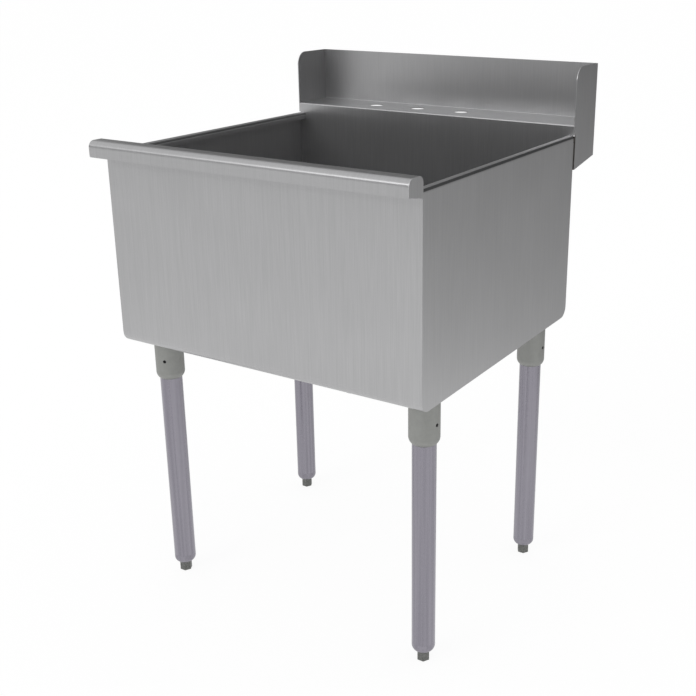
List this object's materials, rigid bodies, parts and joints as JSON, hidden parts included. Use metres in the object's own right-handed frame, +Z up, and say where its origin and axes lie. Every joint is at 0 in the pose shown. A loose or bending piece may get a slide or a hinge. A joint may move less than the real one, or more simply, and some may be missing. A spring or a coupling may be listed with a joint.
{
  "type": "utility laundry sink",
  "caption": "Free-standing utility sink: a deep folded stainless bowl with a rolled front, a raised drilled faucet deck with a splash, a basket strainer, and tube legs with screw-adjusted feet.",
  "frame": {"origin": "on the floor, under the middle of the outer box", "axes": "+Z up, +Y towards the splash and the wall, +X to the right as seen from the front"},
  "size_m": [0.638, 0.6934, 0.9842],
  "materials": {
    "stainless_sheet": "satin brushed",
    "polished_stainless": "polished",
    "chrome_tube": "bright plated",
    "cast_nut": "rough cast and turned",
    "rubber": "matte moulded",
    "fibre": "pressed fibre",
    "screw_steel": "zinc plated",
    "plate_steel": "galvanised",
    "socket_casting": "galvanised",
    "galvanised_tube": "galvanised",
    "foot_insert": "galvanised",
    "foot_hexagon": "dark satin"
  },
  "bodies": {
    "sink": {"bowl_wrap": "stainless_sheet", "back_deck_sheet": "stainless_sheet", "side_panel_left": "stainless_sheet", "side_panel_right": "stainless_sheet", "roll_cap_left": "stainless_sheet", "roll_cap_right": "stainless_sheet", "splash_end_left": "stainless_sheet", "splash_end_right": "stainless_sheet", "strainer_body": "polished_stainless", "strainer_gasket": "rubber", "friction_ring": "fibre", "strainer_lock_nut": "cast_nut", "slip_washer": "rubber", "tailpiece": "chrome_tube", "coupling_nut": "cast_nut", "leg_plate_front_left": "plate_steel", "leg_socket_front_left": "socket_casting", "leg_tube_front_left": "galvanised_tube", "foot_insert_front_left": "foot_insert", "leg_plate_front_right": "plate_steel", "leg_socket_front_right": "socket_casting", "leg_tube_front_right": "galvanised_tube", "foot_insert_front_right": "foot_insert", "leg_plate_rear_left": "plate_steel", "leg_socket_rear_left": "socket_casting", "leg_tube_rear_left": "galvanised_tube", "foot_insert_rear_left": "foot_insert", "leg_plate_rear_right": "plate_steel", "leg_socket_rear_right": "socket_casting", "leg_tube_rear_right": "galvanised_tube", "foot_insert_rear_right": "foot_insert", "socket_set_screws": "screw_steel"},
    "basket": {"basket_cup": "polished_stainless", "basket_stopper": "rubber", "basket_post": "polished_stainless"},
    "stud_front_left": {"foot_stud_front_left": "screw_steel"},
    "foot_front_left": {"hex_foot_front_left": "foot_hexagon"},
    "stud_front_right": {"foot_stud_front_right": "screw_steel"},
    "foot_front_right": {"hex_foot_front_right": "foot_hexagon"},
    "stud_rear_left": {"foot_stud_rear_left": "screw_steel"},
    "foot_rear_left": {"hex_foot_rear_left": "foot_hexagon"},
    "stud_rear_right": {"foot_stud_rear_right": "screw_steel"},
    "foot_rear_right": {"hex_foot_rear_right": "foot_hexagon"}
  },
  "joints": [
    {"name": "basket_lift", "type": "slide", "parent": "sink", "child": "basket", "axis": [0, 0, 1], "range_m": [0, 0.45]},
    {"name": "foot_travel_front_left", "type": "slide", "parent": "sink", "child": "stud_front_left", "axis": [0, 0, -1], "range_m": [0, 0.0254]},
    {"name": "foot_turn_front_left", "type": "hinge", "parent": "stud_front_left", "child": "foot_front_left", "pos_m": [-0.2792, -0.23525, 0], "axis": [0, 0, -1], "range_deg": [0, 3960]},
    {"name": "foot_travel_front_right", "type": "slide", "parent": "sink", "child": "stud_front_right", "axis": [0, 0, -1], "range_m": [0, 0.0254]},
    {"name": "foot_turn_front_right", "type": "hinge", "parent": "stud_front_right", "child": "foot_front_right", "pos_m": [0.2792, -0.23525, 0], "axis": [0, 0, -1], "range_deg": [0, 3960]},
    {"name": "foot_travel_rear_left", "type": "slide", "parent": "sink", "child": "stud_rear_left", "axis": [0, 0, -1], "range_m": [0, 0.0254]},
    {"name": "foot_turn_rear_left", "type": "hinge", "parent": "stud_rear_left", "child": "foot_rear_left", "pos_m": [-0.2792, 0.17625, 0], "axis": [0, 0, -1], "range_deg": [0, 3960]},
    {"name": "foot_travel_rear_right", "type": "slide", "parent": "sink", "child": "stud_rear_right", "axis": [0, 0, -1], "range_m": [0, 0.0254]},
    {"name": "foot_turn_rear_right", "type": "hinge", "parent": "stud_rear_right", "child": "foot_rear_right", "pos_m": [0.2792, 0.17625, 0], "axis": [0, 0, -1], "range_deg": [0, 3960]}
  ],
  "couplings": [
    {"joint": "foot_turn_front_left", "follows": "foot_travel_front_left", "rad_per_m": 2721.1},
    {"joint": "foot_turn_front_right", "follows": "foot_travel_front_right", "rad_per_m": 2721.1},
    {"joint": "foot_turn_rear_left", "follows": "foot_travel_rear_left", "rad_per_m": 2721.1},
    {"joint": "foot_turn_rear_right", "follows": "foot_travel_rear_right", "rad_per_m": 2721.1}
  ]
}
